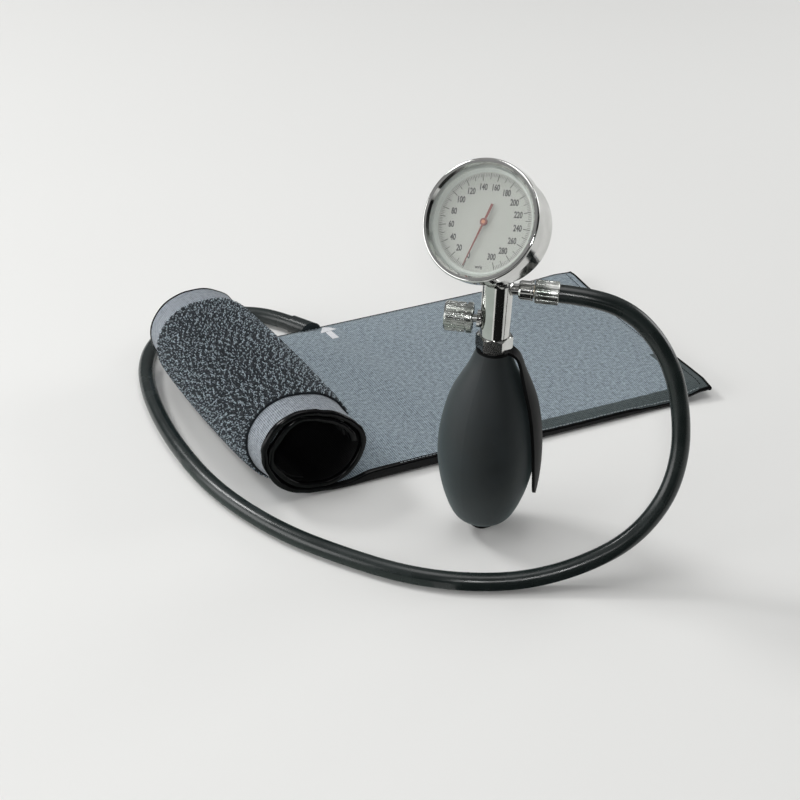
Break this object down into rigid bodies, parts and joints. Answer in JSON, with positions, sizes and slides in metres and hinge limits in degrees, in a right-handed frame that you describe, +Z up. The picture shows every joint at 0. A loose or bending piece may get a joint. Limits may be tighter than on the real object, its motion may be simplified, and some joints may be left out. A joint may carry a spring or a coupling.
{
  "type": "palm-type aneroid sphygmomanometer",
  "caption": "Blood pressure instrument: dial gauge on a valve with a rubber bulb and palm spoon, a hose, and a cuff with its closing flap rolled up.",
  "frame": {"origin": "centre of the flat foot under the bulb, on the table", "axes": "+Z up; +X along the cuff towards its flat end; +Y across the cuff, away from the bulb"},
  "size_m": [0.3115, 0.3453, 0.2102],
  "materials": {
    "chromed_brass": "polished chrome plate on turned brass",
    "turned_steel": "turned stainless steel",
    "plain_brass": "plain turned or stamped brass",
    "spring_bronze": "rolled spring bronze",
    "bulb_rubber": "matt moulded rubber",
    "hose_rubber": "smooth extruded rubber",
    "seal_rubber": "plain black rubber",
    "plug_nylon": "turned nylon",
    "spoon_plastic": "glossy moulded black plastic",
    "dial_print": "matt painted dial with printed scale",
    "spacer_paint": "satin painted ring",
    "pointer_paint": "matt red painted pointer",
    "crystal_clear": "clear moulded crystal",
    "cuff_nylon": "woven grey nylon",
    "cuff_stiffener": "plain stiffening cloth",
    "pile_loops": "knitted loop pile",
    "hook_tape": "woven hook tape",
    "binding_tape": "woven binding tape with a slight sheen"
  },
  "bodies": {
    "instrument": {"valve_body": "chromed_brass", "bulb_collar": "chromed_brass", "release_bushing": "chromed_brass", "tube_connector": "chromed_brass", "gauge_stem": "chromed_brass", "gauge_case": "chromed_brass", "bezel_ring": "chromed_brass", "movement_screws": "turned_steel", "inlet_cage": "plain_brass", "outlet_seat": "plain_brass", "hose_barb": "plain_brass", "movement_back_plate": "plain_brass", "movement_front_plate": "plain_brass", "plate_pillars": "plain_brass", "movement_posts": "plain_brass", "capsule_base": "plain_brass", "capsule": "spring_bronze", "hairspring": "spring_bronze", "bulb": "bulb_rubber", "hose": "hose_rubber", "bladder_neck": "hose_rubber", "bladder": "hose_rubber", "crystal_gasket": "seal_rubber", "palm_spoon": "spoon_plastic", "inlet_valve_body": "spoon_plastic", "dial_plate": "dial_print", "dial_spacer": "spacer_paint", "crystal": "crystal_clear", "cuff_outer_sheet": "cuff_nylon", "cuff_inner_sheet": "cuff_nylon", "cuff_interlining": "cuff_stiffener", "pile_panel": "pile_loops", "hook_panel": "hook_tape", "edge_binding": "binding_tape"},
    "inlet_ball": {"inlet_ball": "turned_steel"},
    "outlet_disc": {"outlet_disc": "seal_rubber"},
    "release_plug": {"release_plug": "plug_nylon"},
    "release_screw": {"release_spindle": "turned_steel", "release_knob": "chromed_brass"},
    "hose_nut": {"hose_nut": "chromed_brass"},
    "sector": {"sector_gear": "plain_brass"},
    "pointer": {"pointer": "pointer_paint", "pinion_arbor": "plain_brass"},
    "rocker": {"rocker_shaft": "plain_brass"},
    "stud": {"capsule_stud": "plain_brass"}
  },
  "joints": [
    {"name": "inlet_ball_lift", "type": "slide", "parent": "instrument", "child": "inlet_ball", "axis": [0.0311, -0.0194, 0.9993], "range_m": [0, 0.001]},
    {"name": "outlet_disc_lift", "type": "slide", "parent": "instrument", "child": "outlet_disc", "axis": [0.0311, -0.0194, 0.9993], "range_m": [0, 0.0006]},
    {"name": "release_travel", "type": "slide", "parent": "instrument", "child": "release_plug", "axis": [-0.8475, 0.5296, 0.0366], "range_m": [0, 0.00112]},
    {"name": "release_turn", "type": "hinge", "parent": "release_plug", "child": "release_screw", "pos_m": [-0.01137, 0.00711, 0.12558], "axis": [-0.8475, 0.5296, 0.0366], "range_deg": [0, 540]},
    {"name": "hose_nut_turn", "type": "hinge", "parent": "instrument", "child": "hose_nut", "pos_m": [0.0248, -0.0155, 0.14262], "axis": [0.8475, -0.5296, -0.0366], "range_deg": [0, 180]},
    {"name": "sector_turn", "type": "hinge", "parent": "instrument", "child": "sector", "pos_m": [0.00767, -0.01165, 0.18081], "axis": [-0.6738, -0.4686, 0.5714], "range_deg": [0, 35.56], "stiffness_Nm_per_rad": 0.002, "springref_deg": -11.46},
    {"name": "pointer_turn", "type": "hinge", "parent": "instrument", "child": "pointer", "pos_m": [-0.00448, -0.00428, 0.18198], "axis": [-0.6738, -0.4686, 0.5714], "range_deg": [-320.1, 0.1]},
    {"name": "rocker_turn", "type": "hinge", "parent": "instrument", "child": "rocker", "pos_m": [0.00667, -0.00372, 0.17668], "axis": [0.6448, -0.7505, 0.1449], "range_deg": [-35.57, 0.01]},
    {"name": "stud_lift", "type": "slide", "parent": "instrument", "child": "stud", "axis": [-0.6738, -0.4686, 0.5714], "range_m": [0, 0.00147]}
  ],
  "couplings": [
    {"joint": "release_turn", "follows": "release_travel", "rad_per_m": 8377.6},
    {"joint": "pointer_turn", "follows": "sector_turn", "ratio": -9},
    {"joint": "rocker_turn", "follows": "sector_turn", "ratio": -1},
    {"joint": "stud_lift", "follows": "sector_turn", "m_per_rad": 0.0023617}
  ]
}
